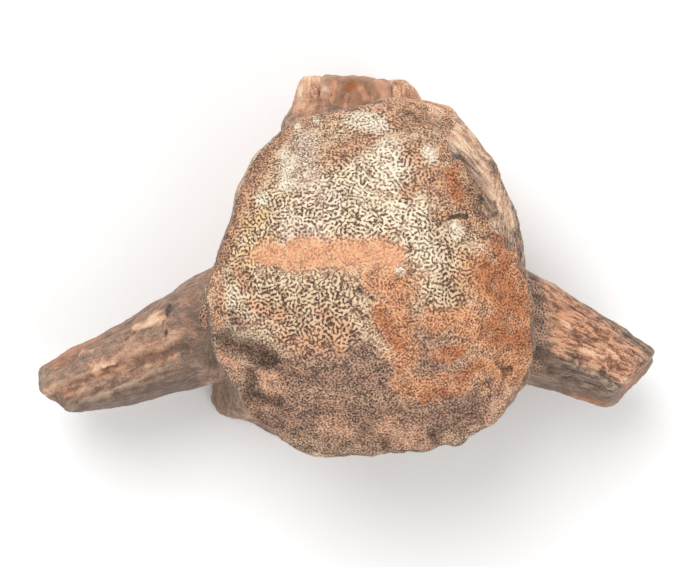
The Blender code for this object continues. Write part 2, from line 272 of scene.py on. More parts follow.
# %% Named marks, as strokes seen from above
# Each stroke runs from one point to another, in mm from the frame's origin. Its width and its
# height follow; a height below zero makes a groove.
STROKES = {
    "lip of the hollow": ((-27.5, -16.6), (-22.0, -18.4), 0.9, 0.4),
    "floor of the hollow": ((-26.0, -20.0), (-20.5, -21.6), 1.3, -0.5),
    "pit in the hollow": ((-19.4, -21.9), (-18.0, -22.6), 1.0, -0.8),
    "mound left of the hollow": ((-29.7, -21.5), (-26.4, -25.3), 1.8, 0.5),
    "top of the ledge": ((-20.4, -28.6), (-16.6, -29.4), 1.2, 0.5),
    "foot of the ledge": ((-21.6, -31.6), (-15.9, -31.9), 0.8, -0.6),
    "side of the ledge": ((-22.8, -25.3), (-23.1, -29.6), 1.0, -0.7),
    "left process, crest": ((-46, -25.5), (-70, -35.6), 0.8, 0.5),
    "left process, channel": ((-40, -20), (-56, -25.6), 1.0, -0.5),
    "left process, scar, left end": ((-62.4, -26.6), (-60.6, -24.4), 0.9, 0.8),
    "left process, scar, top": ((-60.6, -24.4), (-57.2, -24.0), 0.9, 0.9),
    "left process, scar, right end": ((-57.2, -24.0), (-55.4, -26.0), 0.9, 0.7),
    "left process, middle of the scar": ((-60.0, -25.8), (-57.4, -25.6), 1.3, 0.7),
    "left process, upper crack": ((-44.0, -9.5), (-45.0, -13.4), 0.5, -0.7),
    "left process, lower crack": ((-45.0, -13.4), (-44.3, -18.6), 0.5, -0.7),
    "left process, short channel": ((-50, -15.5), (-62, -20.5), 0.9, -0.5),
    "right process, groove": ((51, -26.3), (62, -31.0), 0.9, -0.7),
    "right process, crooked groove": ((50.0, -15.0), (58.0, -23.5), 0.9, -0.8),
    "right process, swelling": ((60.5, -20.5), (63.5, -23.5), 2.0, 0.8),
    "right process, dent": ((58, -25.0), (60, -26.0), 1.4, -0.8),
    "knob on the upper margin": ((25.3, 39.2), (25.6, 38.4), 1.8, 0.9),
    "knob on the right margin": ((34.6, 26.2), (35.2, 24.6), 1.7, 0.8),
    "knob on the lower margin": ((12.2, -44.8), (14.2, -44.8), 1.6, 0.8),
    "knob left of it": ((2.6, -44.0), (6.0, -44.6), 1.6, 0.7),
    "gap between the knobs": ((9.0, -41.0), (9.6, -46.0), 0.8, -1.0),
    "gap right of the knobs": ((20.4, -39.4), (21.6, -43.0), 0.8, -0.7),
    "slanting ridge": ((24.0, -17.5), (36.0, -30.0), 0.6, 0.5),
    "chipped lower right": ((22, -41), (32, -37.5), 1.2, -0.6),
    "curved chip, upper part": ((36.5, -22), (38.8, -26), 0.7, -0.7),
    "curved chip, lower part": ((38.8, -26), (37.8, -31), 0.7, -0.7),
    "pale ridge": ((34.2, -29), (35.6, -33), 0.6, 0.5),
    "short crack": ((24.6, 11.4), (28.4, 11.8), 0.35, -0.6),
    "hollow at the crack's end": ((22.0, 8.5), (24.0, 11.0), 1.2, -0.5),
    "swelling under the crack": ((24.5, 7.8), (26.5, 6.5), 2.0, 0.5),
}
WAVER = 3.6 * MM                             # how long the wavers of a stroke are
WAVER_REACH = 0.7 * MM                       # and how far they go
# One place in the noise for each axis. Blender's noise_vector isn't the same in each run.
WAVER_SEEDS = (Vector((0, 0, 0)), Vector((31.4, 0, 0)), Vector((0, 57.2, 0)))


def wavered(places):
    """The points, moved about smoothly, so that a stroke drawn there isn't straight."""
    shift = [[noise.noise(Vector(p) / WAVER + apart) for apart in WAVER_SEEDS] for p in places]
    return places + WAVER_REACH * np.array(shift)


def away_from(places, start, end):
    """How far each point is from a stroke, seen from above."""
    a, b = np.array(start) * MM, np.array(end) * MM
    flat = places[:, :2]
    share = np.clip(((flat - a) @ (b - a)) / ((b - a) @ (b - a)), 0, 1)
    return np.linalg.norm(flat - a - share[:, None] * (b - a), axis=1)


STROKES_FADE = 0.3                           # height of the normal below which they fade out


def press_strokes(obj):
    """Raises and presses in the named marks, each with a soft round profile."""
    places, normals = points_of(obj)
    uneven = wavered(places)
    rise = sum(height * MM * np.exp(-(away_from(uneven, start, end) / (width * MM)) ** 2)
               for start, end, width, height in STROKES.values())
    places += normals * (rise * smoothstep(normals[:, 2] / STROKES_FADE))[:, None]
    place_points(obj, places)


CHIPS = ((9 * MM, 1.8 * MM), (4.5 * MM, 0.6 * MM))   # how wide and how deep the bites are


def chip_margin(obj):
    """Takes uneven bites out of the lower margin of the face, where the real edge has crumbled."""
    places, normals = points_of(obj)
    arm = places[:, :2] - BODY_AXIS
    on_lower_side = smoothstep((-6 * MM - arm[:, 1]) / (14 * MM))
    high_up = smoothstep((places[:, 2] - 38 * MM) / (10 * MM))
    sloping = smoothstep((0.9 - normals[:, 2]) / 0.4)
    far_out = smoothstep((np.linalg.norm(arm, axis=1) - 32 * MM) / (5 * MM))
    where = on_lower_side * high_up * sloping * far_out
    for size, deepest in CHIPS:
        bites = np.array([noise.noise(Vector((x, y, 0.3 * z)) / size) for x, y, z in places])
        places -= normals * (1, 1, 0) * (deepest * where * smoothstep(bites / 0.5))[:, None]
    place_points(obj, places)


# Small holes in the body's sides: direction in degrees, height, radius and depth in mm.
HOLES = ((-95, 30, 1.2, 1.6), (-80, 36, 0.8, 1.2), (-110, 24, 0.9, 1.2), (-62, 33, 0.8, 1.0),
         (-128, 38, 0.9, 1.1), (52, 30, 1.1, 1.4), (38, 42, 0.8, 1.0), (128, 28, 1.0, 1.3),
         (140, 41, 0.8, 1.0), (-84, 19, 0.7, 0.9))


def pierce(obj):
    """Presses in the small holes by which blood vessels entered the bone."""
    places, normals = points_of(obj)
    arm = places[:, :2] - BODY_AXIS
    angle = np.degrees(np.arctan2(arm[:, 1], arm[:, 0]))
    for direction, height, radius, depth in HOLES:
        miss = np.abs(angle - direction) * MM + np.abs(places[:, 2] - height * MM)
        away = np.linalg.norm(places - places[np.argmin(miss)], axis=1)
        places -= normals * (depth * MM * np.exp(-(away / (radius * MM)) ** 3))[:, None]
    place_points(obj, places)


press_strokes(bone)
chip_margin(bone)
pierce(bone)
print(len(STROKES), "strokes pressed")

# %% [markdown]
# ## The joint surface
#
# The domed rear face carried cartilage in life. Its bone weathers into fine granules with curled
# grooves between them. We cut this cap out of a second skin, give it squares a third of the
# size, and turn its edge down into the bone, so the two surfaces cross along a natural margin.
# Where the face is worn back, at the upper right, its margin lies further in.

# %% How far the joint surface covers each point
MARGIN_SLOPE = 0.46                          # height of the normal where the cap ends
MARGIN_WIDTH = 0.10                          # and how much it changes from there to full cover
WORN_SIDE = math.radians(40)                 # direction of the worn upper right
WORN_SPREAD = math.radians(42)               # how far it spreads to either side
WORN_SLOPE = 0.30                            # how much higher the normal has to be there
LOWEST_MARGIN = 50 * MM


def coverage(places, normals):
    """1 well inside the joint surface, -1 well outside, 0 on its margin."""
    from_axis = places[:, :2] - BODY_AXIS
    angle = np.arctan2(from_axis[:, 1], from_axis[:, 0])
    worn = smoothstep(1.3 - np.abs(angle - WORN_SIDE) / WORN_SPREAD)
    ragged = 0.05 * np.sin(angle * 23 + 2 * np.sin(angle * 7)) + 0.04 * np.sin(angle * 41)
    inside = (normals[:, 2] - MARGIN_SLOPE - WORN_SLOPE * worn + ragged) / MARGIN_WIDTH
    above = (places[:, 2] - LOWEST_MARGIN) / (2 * MM)
    return np.clip(np.minimum(inside, above), -1, 1)


def smooth_points(bm, verts, rounds):
    for _ in range(rounds):
        bmesh.ops.smooth_vert(bm, verts=verts, factor=0.5, use_axis_x=True, use_axis_y=True,
                              use_axis_z=True)


def keep_main_patch(bm):
    """Deletes the faces that don't hang together with the largest patch."""
    left, patches = set(bm.faces), []
    while left:
        patch, todo = set(), [left.pop()]
        while todo:
            face = todo.pop()
            patch.add(face)
            near = {f for e in face.edges for f in e.link_faces} & left
            left -= near
            todo.extend(near)
        patches.append(patch)
    main = max(patches, key=len)
    loose = [f for f in bm.faces if f not in main]
    bmesh.ops.delete(bm, geom=loose, context="FACES")


# %% Cut out the cap
def cut_cap(obj):
    """Keeps the covered part of a mesh, as an open patch, and cuts it into finer squares."""
    covered = coverage(points_of(obj)[0], smoother_copy(obj, 8)[1])
    bm = bmesh.new()
    bm.from_mesh(obj.data)
    bm.verts.ensure_lookup_table()
    outside = [v for v in bm.verts if covered[v.index] <= -0.99]
    bmesh.ops.delete(bm, geom=outside, context="VERTS")
    keep_main_patch(bm)
    smooth_points(bm, [v for v in bm.verts if v.is_boundary], 4)
    bmesh.ops.subdivide_edges(bm, edges=bm.edges, cuts=2, use_grid_fill=True)
    smooth_points(bm, [v for v in bm.verts if not v.is_boundary], 4)
    bm.to_mesh(obj.data)
    bm.free()


cut_cap(cap)
press_strokes(cap)
chip_margin(cap)
print("joint surface:", len(cap.data.vertices), "vertices")

# %% Let the two surfaces cross at the margin
CAP_SINK = 0.18 * MM                         # half of how far the cap's edge goes under the skin
SKIN_SINK = 0.55 * MM                        # and half of how far the skin lies under the cap


def keep(obj, name, values):
    """Keeps one value, or one vector, for each point, for the relief and the colours to read."""
    kind, field = ("FLOAT", "value") if values.ndim == 1 else ("FLOAT_VECTOR", "vector")
    made = obj.data.attributes.new(name, kind, "POINT")
    made.data.foreach_set(field, values.astype(np.float32).ravel())


DOME_RADIUS = 54 * MM                        # how round the rear face is


def unrolled(places):
    """The places laid out flat, so that a pattern isn't stretched on the dome's steep edge."""
    arm = places[:, :2] - BODY_AXIS
    reach = np.linalg.norm(arm, axis=1) + 1e-9
    arc = DOME_RADIUS * np.arcsin(np.clip(reach / DOME_RADIUS, 0, 0.97))
    return np.column_stack([BODY_AXIS + arm * (arc / reach)[:, None], 0 * reach])


def cross_margin(obj, sink, side):
    """Sinks a surface where the other one covers it, and keeps how far it is covered.

    side is -1 for the cap and 1 for the skin. The cap's patterns are laid out flat.
    """
    places, normals = points_of(obj)
    soft = smoother_copy(obj, 10)[1]
    covered = coverage(places, soft)
    place_points(obj, places - normals * (sink * (1 + side * covered))[:, None])
    keep(obj, "cover", covered)
    keep(obj, "slope", soft[:, 2])
    places = points_of(obj)[0]
    keep(obj, "skin", unrolled(places) if side < 0 else places)


cross_margin(cap, CAP_SINK, -1)
cross_margin(bone, SKIN_SINK, 1)

# %% [markdown]
# ## Stains, painted shade and painted highlights
#
# A fossil takes its colours from the rock. We paint each kind of stain, and also painted shade and
# painted highlights, as a few strokes seen from above, and keep for every point how deep inside a
# stroke it lies. The materials later turn these soft fields into ragged patches with noise.

# %% Stains and painted shade on the joint surface, in mm: start, end, and half width
FACE_STAINS = {
    "bold": (((-25, -8), (-3, -9), 6.5), ((-14, -14), (-2, -15), 5.5), ((-14, 12), (-4, 14), 6),
             ((0, 20), (14, 24), 6.5), ((-2, 10), (16, 12), 6), ((-24, 4), (-18, 14), 5),
             ((17, 8), (25, 0), 6), ((22, -5), (24, -8), 4), ((2, 35), (9, 34), 3.3)),
    "cream": (((6, 24), (16, 26), 6.5), ((8, 18), (16, 12), 6), ((2, 36), (8, 34), 3),
              ((18, 6), (22, -2), 2.6), ((-27, -14.5), (-20, -17.5), 1.8), ((-14, 6), (-6, 7), 2.5),
              ((-26.5, -7), (-21, -10), 2.4)),
    "chalky": (((-13, 32), (-10, 26), 4.0), ((-9, 19), (-4, 15), 3.6), ((-14, 10), (-8, 9), 2.6)),
    "yellow": (((-24, 9), (-20, 12), 2.2), ((-24, 2), (-18, 5), 2.6), ((30, -3), (33, -6), 2.4),
               ((28, 1), (30, -1), 1.6)),
    "umber": (((-17, -9), (-2, -10), 4.6), ((-14, -15), (-2, -17), 5.0), ((24, -3), (26, -7), 3.4),
              ((22, 10), (26, 4), 2.4)),
    # grey_and_painted_shade: grey tone, with painted shade, over the lower part of the face, which slopes
    # away from the light
    "grey_and_painted_shade": (((-22, -34), (16, -38), 8), ((-14, -25), (8, -27), 5), ((-10, -20), (4, -21), 3.5),
             ((15, -14), (21, -24), 4.0), ((16, -36), (30, -35), 5), ((24, -30), (32, -32), 3),
             ((-27, -12), (-24.5, -14), 1.8)),
    "brown": (((-29.5, 3), (-25, 16), 2.4), ((-25, 16), (-20, 27), 3.0),
              ((-20, 27), (-13.5, 35), 3.2),
              ((-13.5, 35), (-2, 39.5), 3.0), ((-2, 39.5), (16, 40), 2.6), ((-3, 26.0), (7, 31.5), 2.8),
              ((-33, -4), (-28, 8), 1.6), ((-14, 36), (-10, 38), 1.8), ((14, 17), (18, 20), 1.5),
              ((12, 35), (24, 36), 4.0), ((17, 27), (24, 17), 4.5), ((25, 28), (33, 20), 4.0),
              ((28, 15), (35, 17), 4.5), ((22, 12), (30, 11), 2.0), ((33, 10), (38, 2), 2.2),
              ((-26, -1), (-24, -4), 1.6), ((-31, -8), (-31, -14), 1.8), ((-8, -17), (-2, -18), 2.8),
              ((-22, -9), (-15, -12), 1.8), ((-6, -11), (0, -15), 1.8), ((-14, -17), (-10, -19), 1.8),
              ((-25, -3.5), (-23, -6), 1.3), ((42, 6), (44, -2), 1.6)),
    "orange": (((32, -2), (38, -9), 5.5), ((7, -3), (13, -5), 3.6), ((11, -8), (14, -21), 3.8),
               ((29, -14), (40, -19), 4.5), ((34, -25), (40, -24), 4.5), ((20, -13), (27, -12), 3.0),
               ((13, -28), (26, -28), 2.6), ((41, 2), (44, -14), 2.8), ((36, 12), (40, 4), 1.6),
               ((8, -10), (10, -14), 2.2), ((9, 2), (13, -3), 2.2)),
    "rosy": (((-4, 38.4), (12, 39.4), 1.8), ((20, 34), (24, 31), 1.2), ((10, -39), (17, -42), 3.2),
             ((-5, -38), (0, -39), 2.0), ((-20, -26), (-17, -30), 2.6),
             ((-29.5, -21), (-26, -25), 1.8), ((-31, -3), (-30, -8), 1.6), ((24, -18), (35, -29), 0.8),
             ((34.5, -28), (36, -32), 1.1), ((38, -30), (34, -36), 1.5)),
    "smear": (((-20, 3), (-12, 3), 2.6), ((-13, 2.8), (8, 3.2), 3.5), ((6, 3.2), (10, 2.2), 3.4)),
    "rust": (((24.5, 21.5), (26.5, 17), 1.8), ((34, -2), (40, -9), 3.6), ((36, -15), (43, -18), 3.2),
             ((22, -21), (26, -20), 2.0), ((-28.5, -16.5), (-27, -17.5), 0.9), ((36, 6), (38, 0), 1.6),
             ((8, -12), (12, -18), 1.8), ((27, -26), (31, -23), 1.6), ((18, -31), (23, -30), 1.2)),
    # pit: painted shade, dark in the hollow, its pit, the ledge's grooves and the gaps between the knobs,
    # where the strokes above press in
    "pit": (((-29, -17.5), (-20, -21.5), 2.8), ((-20, -21.4), (-17.8, -22.8), 2.0),
            ((-23.0, -25.5), (-23.4, -29.5), 1.4), ((-21.8, -31.8), (-16.0, -32.0), 1.3),
            ((9, -42), (9.5, -45), 0.7), ((20.6, -40), (21.5, -43), 0.7),
            ((-25, -32), (-22, -36), 1.4)),
    "edge": (((-30.8, 2), (-28.0, 14), 1.5), ((-28.0, 14), (-22.5, 27), 1.7),
             ((-22.5, 27), (-15, 36.5), 1.7),
             ((-15, 36.5), (-3, 41), 1.7), ((29.5, 18.5), (32, 13), 2.2), ((14, 36), (22, 34), 1.2)),
    "white": (((3.2, 35.6), (8.0, 33.7), 1.9), ((9.2, 27.5), (10.8, 22.8), 2.6),
              ((19.4, 26.8), (19.8, 25.8), 1.6), ((24.6, 9.0), (26.0, 7.8), 1.6),
              ((-20.0, 16.6), (-19.6, 16.0), 1.6), ((-14.5, 26.3), (-14.1, 19.7), 1.6),
              ((-11.9, 33.9), (-11.8, 33.4), 0.9), ((-6.9, 35.1), (-6.8, 34.7), 0.9),
              ((12.4, -0.4), (13.0, -1.6), 0.7)),
    "mark": (((3.0, -5.2), (4.0, -6.2), 0.5), ((5.8, -7.2), (6.4, -7.6), 0.45),
             ((24.8, 11.5), (28.6, 11.9), 0.45), ((31.5, 16.5), (32.5, 15.5), 0.6)),
}


def paint(obj, stains, fade=0.0):
    """Keeps a field for each kind: 1 in the middle of a stroke, 0 on its edge, -1 far outside.

    Where fade is 1 there is no stain.
    """
    places = wavered(points_of(obj)[0])
    for kind, marks in stains.items():
        depth = [1 - away_from(places, start, end) / (width * MM) for start, end, width in marks]
        keep(obj, kind, np.maximum(np.max(depth, axis=0) - 2 * fade, -1))


paint(cap, FACE_STAINS)

# %% Stains, painted shade and painted highlights on the sides and the processes
SIDE_STAINS = {
    # On the left process the rosy strokes are pink tone and partly painted highlight on its upper side.
    "rosy": (((-50, -20), (-68, -29), 2.4), ((-42, -21), (-50, -24), 1.2),
             ((-70, -29), (-77, -32), 1.2), ((24, 40), (34, 28), 2.5),
             ((-42, -17), (-47, -20), 2.0), ((-52, -23), (-64, -24), 1.2), ((-46, -28), (-64, -33), 1.0)),
    "ember": (((50, -9), (66, -22), 5.5), ((56, -17), (72, -27), 4.5), ((57, -33), (66, -35), 1.3),
              ((-74, -24), (-70, -21), 1.6), ((-62, -17), (-68, -20), 0.9)),
    # painted_shade_below: painted shade, darker and greyer, on the lower halves of the side processes, at
    # their roots and below the face's lower margin, where less light falls from above
    "painted_shade_below": (((-31.2, -27.6), (-72.2, -37.6), 3.4), ((49.6, -24.0), (66.0, -31.0), 3.0),
             ((-32, -20), (-33, -36), 6), ((24, -41), (32, -40), 3), ((-34, -8), (-36, -22), 2.2),
             ((-38, -28), (-52, -32), 3.0), ((51, -31), (56, -32), 1.6)),
    # The salmon strokes on the right process, from x 48 to 72, are painted highlights; the two wide ones
    # on the arch are its salmon tone.
    "salmon": (((-11, 41), (-9, 48), 5.5), ((13, 47), (17, 41), 6.0), ((53.0, -13.6), (55.0, -14.4), 0.8),
               ((51.5, -20.5), (55.0, -22.5), 0.7), ((58.5, -19.6), (63.0, -21.6), 0.9),
               ((66.0, -20.6), (70.5, -22.4), 1.0), ((69.0, -28.0), (72.0, -29.4), 1.0),
               ((48.6, -9.0), (50.4, -13.0), 0.7), ((-46, -21.6), (-49, -22.4), 0.5),
               ((-62.0, -25.8), (-57.0, -25.2), 1.5),
               ((-64, -20.6), (-67, -21.8), 0.5), ((-68, -31), (-71, -32.4), 0.5)),
    "crumb": (((43, 12), (45.5, 0), 2.4), ((45.5, 0), (48.0, -14), 2.6), ((48.0, -14), (46, -26), 2.4),
              ((-34, 0), (-35, -14), 1.4)),
    "white": (((-45.6, -12.4), (-49.0, -12.8), 1.3), ((-48.6, -13.8), (-52.4, -14.8), 0.9),
              ((27, 32), (30.5, 28), 2.4), ((33, 24), (36, 17), 1.5),
              # The strokes on the scar's left end and top are painted highlight, on the side of its ring
              # that faces the light.
              ((-62.6, -26.6), (-61.4, -24.6), 0.8),
              ((-61.0, -24.2), (-57.6, -23.8), 0.6), ((-53, -24.4), (-55, -25.2), 0.5),
              # The two streaks near x -10 to -14, on the arch's left wall, are pale tone and partly
              # painted highlight.
              ((37, 18), (39.5, 11), 1.8), ((-9.4, 47.5), (-11.4, 40.5), 1.4),
              ((-13.4, 46), (-14.4, 42), 0.9), ((15.5, 46.4), (14.6, 43.6), 0.6)),
    "mark": (((-44.0, -9.5), (-45.0, -13.4), 0.4), ((-45.0, -13.4), (-44.3, -18.6), 0.4),
             ((-6.3, 43.2), (-6.3, 45.4), 0.4)),
}
places, normals = points_of(bone)
low_on_body = (smoothstep((50 * MM - places[:, 2]) / (8 * MM))
               * smoothstep((44 * MM - np.abs(places[:, 0] - BODY_AXIS[0])) / (4 * MM))
               * smoothstep((40 * MM - places[:, 1]) / (4 * MM)))
steep = smoothstep((0.10 - normals[:, 2]) / 0.35)
paint(bone, SIDE_STAINS, np.maximum(low_on_body, steep))
print("kinds of stain:", sorted(FACE_STAINS.keys() | SIDE_STAINS.keys()))

# %% [markdown]
# ## Relief
#
# Bone has a direction. On the side processes the surface is drawn out into ridges that run
# towards the tip, and on the body fine ridges run from end to end. The joint surface is a maze of
# granules instead: Gabor noise gives such a maze an even pitch, which plain noise can't.
# We build the relief with noise nodes in a geometry tree, and use the very same noise in the
# materials, so the colours settle in the grooves that the mesh really has.

# %% Patterns that the relief and the materials share
PROCESS_ROOT = (29 * MM, 41 * MM)            # how far out the body passes into a process
PROCESS_SLOPE = 0.36                         # how steeply the processes slope down
ALONG_PROCESS = 0.26                         # the smaller, the longer the ridges are
ALONG_BODY = (1.0, 1.0, 0.28)
ALONG_ARCH = (1.0, 0.22, 0.35)
WORN_DIRECTION = (0.85, 0.53)                # towards the worn upper right, seen from above
WORN_REACH = (28 * MM, 33 * MM)              # how far that way the ridges turn
WORN_LEVEL = (36 * MM, 44 * MM)              # and how high up
ARCH_REACH = (45 * MM, 47 * MM)
ARCH_TOP = (46.5 * MM, 49 * MM)


def fibre_ridges(tree, point):
    """Ridges that follow the bone: outwards on the processes, end to end on the body, up the arch."""
    x, y, z = (add(tree, "ShaderNodeSeparateXYZ", point, out=i) for i in range(3))
    outward = calc(tree, "ABSOLUTE", calc(tree, "SUBTRACT", x, float(BODY_AXIS[0])))
    on_process = ease(tree, outward, *PROCESS_ROOT)
    across = add(tree, "ShaderNodeCombineXYZ", calc(tree, "MULTIPLY", outward, ALONG_PROCESS),
                 calc(tree, "MULTIPLY_ADD", outward, PROCESS_SLOPE, y), z)
    lengthwise = stretched(tree, point, ALONG_BODY)
    upward = stretched(tree, point, ALONG_ARCH)
    from_axis = (calc(tree, "SUBTRACT", x, float(BODY_AXIS[0])),
                 calc(tree, "SUBTRACT", y, float(BODY_AXIS[1])))
    reach = calc(tree, "SQRT", calc(tree, "MULTIPLY_ADD", from_axis[0], from_axis[0],
                                    calc(tree, "MULTIPLY", from_axis[1], from_axis[1])))
    angle = calc(tree, "ARCTAN2", from_axis[1], from_axis[0])
    round_it = add(tree, "ShaderNodeCombineXYZ", calc(tree, "MULTIPLY", reach, 1.3),
                   calc(tree, "MULTIPLY", angle, 6 * MM), calc(tree, "MULTIPLY", z, 0.7))
    worn = calc(tree, "MULTIPLY_ADD", from_axis[0], WORN_DIRECTION[0],
                calc(tree, "MULTIPLY", from_axis[1], WORN_DIRECTION[1]))
    worn = calc(tree, "MULTIPLY", ease(tree, worn, *WORN_REACH), ease(tree, z, *WORN_LEVEL))
    on_arch = calc(tree, "MULTIPLY", ease(tree, from_axis[1], *ARCH_REACH),
                   ease(tree, z, *ARCH_TOP, 1.0, 0.0))
    path = add(tree, "ShaderNodeMix", worn, lengthwise, round_it, data_type="VECTOR")
    path = add(tree, "ShaderNodeMix", on_arch, path, upward, data_type="VECTOR")
    path = add(tree, "ShaderNodeMix", on_process, path, across, data_type="VECTOR")
    worn = calc(tree, "MAXIMUM", worn, calc(tree, "MULTIPLY", on_arch, 0.6))
    coarse = grain(tree, path, 3.2 * MM, 3.0, 0.6, 0.4)
    fine = grain(tree, path, 1.0 * MM, 1.5, 0.5, 0.4)
    return coarse, fine, on_process, worn


BOLD_PITCH, SMALL_PITCH = 1.05 * MM, 0.75 * MM
GRANULE_EDGE = (0.30, 0.55)                  # from the grooves of the relief to its granules
GROUND_EDGE = (0.28, 0.38)                   # from the dark of the grooves to the middle tones
CREST_EDGE = (0.42, 0.54)                    # and from there to the bright crests


def maze(tree, point, pitch):
    """Curled lines at an even pitch: low in the grooves, about 0.43 halfway, high on the crests."""
    point = shaken(tree, point, 2.2 * MM, 1.3 * MM)
    return add(tree, "ShaderNodeTexGabor", point, 0.5 / pitch, 2.0, 0.0)


def granules(tree, point, pitch):
    """Curled granules and the grooves between them: 0 in a groove, 1 on a granule."""
    return ease(tree, maze(tree, point, pitch), *GRANULE_EDGE)


# %% Relief as a geometry tree
def named_value(tree, name):
    return add(tree, "GeometryNodeInputNamedAttribute", name, data_type="FLOAT")


def relief_tree(name, build):
    """A geometry tree that moves each point along its normal by what build gives, in metres."""
    tree = bpy.data.node_groups.new(name, "GeometryNodeTree")
    tree.interface.new_socket("Geometry", in_out="INPUT", socket_type="NodeSocketGeometry")
    tree.interface.new_socket("Geometry", in_out="OUTPUT", socket_type="NodeSocketGeometry")
    start, end = tree.nodes.new("NodeGroupInput"), tree.nodes.new("NodeGroupOutput")
    point = add(tree, "GeometryNodeInputNamedAttribute", "skin", data_type="FLOAT_VECTOR")
    normal = add(tree, "GeometryNodeInputNormal")
    offset = add(tree, "ShaderNodeVectorMath", normal, build(tree, point), operation="SCALE")
    moved_on = add(tree, "GeometryNodeSetPosition", start.outputs[0], True, None, offset)
    tree.links.new(moved_on, end.inputs[0])
    return tree


def apply_relief(obj, build):
    modifier = obj.modifiers.new("relief", "NODES")
    modifier.node_group = relief_tree(obj.name + " relief", build)
    bake(obj)


def layered(tree, *layers):
    """Adds up noises, each less its own level and times its own height in mm, in metres."""
    total = 0.0
    for layer, level, height in layers:
        total = calc(tree, "MULTIPLY_ADD", calc(tree, "SUBTRACT", layer, level), height, total)
    return calc(tree, "MULTIPLY", total, MM)


# %% The relief of the sides and of the joint surface
def bone_relief(tree, point):
    coarse, fine, on_process, worn = fibre_ridges(tree, point)
    ridge_height = calc(tree, "MULTIPLY_ADD", on_process, 0.8, 0.35)
    lumps = grain(tree, point, 9 * MM, 3.0)
    chips = grain(tree, point, 2.6 * MM, 2.0, 0.6)
    height = layered(tree, (coarse, 0.6, ridge_height), (fine, 0.5, 0.35), (lumps, 0.6, 1.4),
                     (chips, 0.5, 0.6))
    return calc(tree, "MULTIPLY", height, ease(tree, named_value(tree, "cover"), -0.9, 0.4, 1, 0))


def face_relief(tree, point):
    lumps = grain(tree, point, 8 * MM, 3.0, 0.55)
    bold = ease(tree, named_value(tree, "bold"), -0.5, 0.3, 0.08, 0.30)
    return layered(tree, (granules(tree, point, BOLD_PITCH), 1.0, bold), (lumps, 0.62, 1.1),
                   (granules(tree, point, SMALL_PITCH), 0.5, 0.14))


apply_relief(bone, bone_relief)
apply_relief(cap, face_relief)


# %% Close the cap underneath
RIM_STEPS = ((1.5 * MM, 0.97), (6 * MM, 0.80))   # how far down, and what share of the width stays


def close_cap(obj):
    """Turns the cap's open edge down and in, and closes it with a flat face inside the bone."""
    bm = bmesh.new()
    bm.from_mesh(obj.data)
    for sink, pull in RIM_STEPS:
        rim = [e for e in bm.edges if e.is_boundary]
        made = bmesh.ops.extrude_edge_only(bm, edges=rim)["geom"]
        for vert in (v for v in made if isinstance(v, bmesh.types.BMVert)):
            flat = BODY_AXIS + (np.array(vert.co.xy) - BODY_AXIS) * pull
            vert.co = (*flat, vert.co.z - sink)
    bmesh.ops.holes_fill(bm, edges=[e for e in bm.edges if e.is_boundary])
    bmesh.ops.recalc_face_normals(bm, faces=bm.faces)
    bm.to_mesh(obj.data)
    bm.free()


def keep_hollows(obj):
    """Keeps how far each point lies below a smoother surface, in mm."""
    places, normals = points_of(obj)
    level = smoother_copy(obj, 14)[0]
    keep(obj, "hollow", ((level - places) * normals).sum(axis=1) / MM)


for piece in (bone, cap):
    keep_hollows(piece)
close_cap(cap)
for piece in (bone, cap):
    print(piece.name, sum(len(p.vertices) - 2 for p in piece.data.polygons), "triangles")

# %% [markdown]
# ## The rock in the canal
#
# The canal above the body once held the spinal cord. It is still full of fine brown rock, which
# stands a little proud between the two broken walls.

# %% The rock
plug = merged_copy("canal_matrix", "canal_rock")
reskin(plug, 0.4 * MM, 8)
SNUG = 1.6 * MM                              # the rock fills the narrow gap to the walls
PROUD = 2.2 * MM                             # and its end stands a little proud of them
places, normals = points_of(plug)
swell = SNUG * np.abs(normals[:, 0]) + PROUD * smoothstep(normals[:, 2])
place_points(plug, places + normals * swell[:, None])
ROCK_STAINS = {
    "rust": (((0.4, 44.8), (1.6, 45.8), 1.1),),
    "salmon": (((3.6, 44.2), (4.8, 41.4), 0.8), ((8.2, 46.4), (9.8, 42.6), 1.2),
               ((-4, 42), (-3, 46), 0.9), ((11.8, 47), (12.6, 41), 1.1),
               ((-6.4, 47), (-6.8, 41), 0.9), ((0, 42), (0.6, 43), 0.5)),
    "pale": (((-5.2, 44.6), (-4.8, 43.6), 0.5),),
}
paint(plug, ROCK_STAINS, smoothstep((0.35 - points_of(plug)[1][:, 2]) / 0.3))
print("rock up to", round(places[:, 2].max() / MM, 1), "walls up to",
      round(max(p[2] for p in points_of(bone)[0] if p[1] > 44 * MM) / MM, 1), "mm")


def rock_relief(tree, point):
    return layered(tree, (grain(tree, point, 5 * MM, 4.0, 0.6), 0.7, 1.2))


keep(plug, "skin", points_of(plug)[0])
apply_relief(plug, rock_relief)
keep_hollows(plug)

# %% [markdown]
# ## Materials
#
# All three finishes are aged in the same way, so the steps that they share are shader groups:
# three tones that follow a pattern, a soft field that becomes a ragged patch, and dirt and painted
# shade in hollows.


# %% Shared groups
COLOUR, FLOAT = "NodeSocketColor", "NodeSocketFloat"


def shader_group(name, inputs, outputs, build):
    """A group of shader nodes, with its sockets given by name and kind."""
    tree = bpy.data.node_groups.new(name, "ShaderNodeTree")
    for label, kind in inputs:
        tree.interface.new_socket(label, in_out="INPUT", socket_type=kind)
    for label, kind in outputs:
        tree.interface.new_socket(label, in_out="OUTPUT", socket_type=kind)
    start, end = tree.nodes.new("NodeGroupInput"), tree.nodes.new("NodeGroupOutput")
    for result, socket in zip(build(tree, *start.outputs[:len(inputs)]), end.inputs):
        tree.links.new(result, socket)
    return tree


def use(tree, group, *values):
    return add(tree, "ShaderNodeGroup", *values, node_tree=group)


def blend(tree, mask, a, b):
    return add(tree, "ShaderNodeMix", mask, a, b, data_type="RGBA")


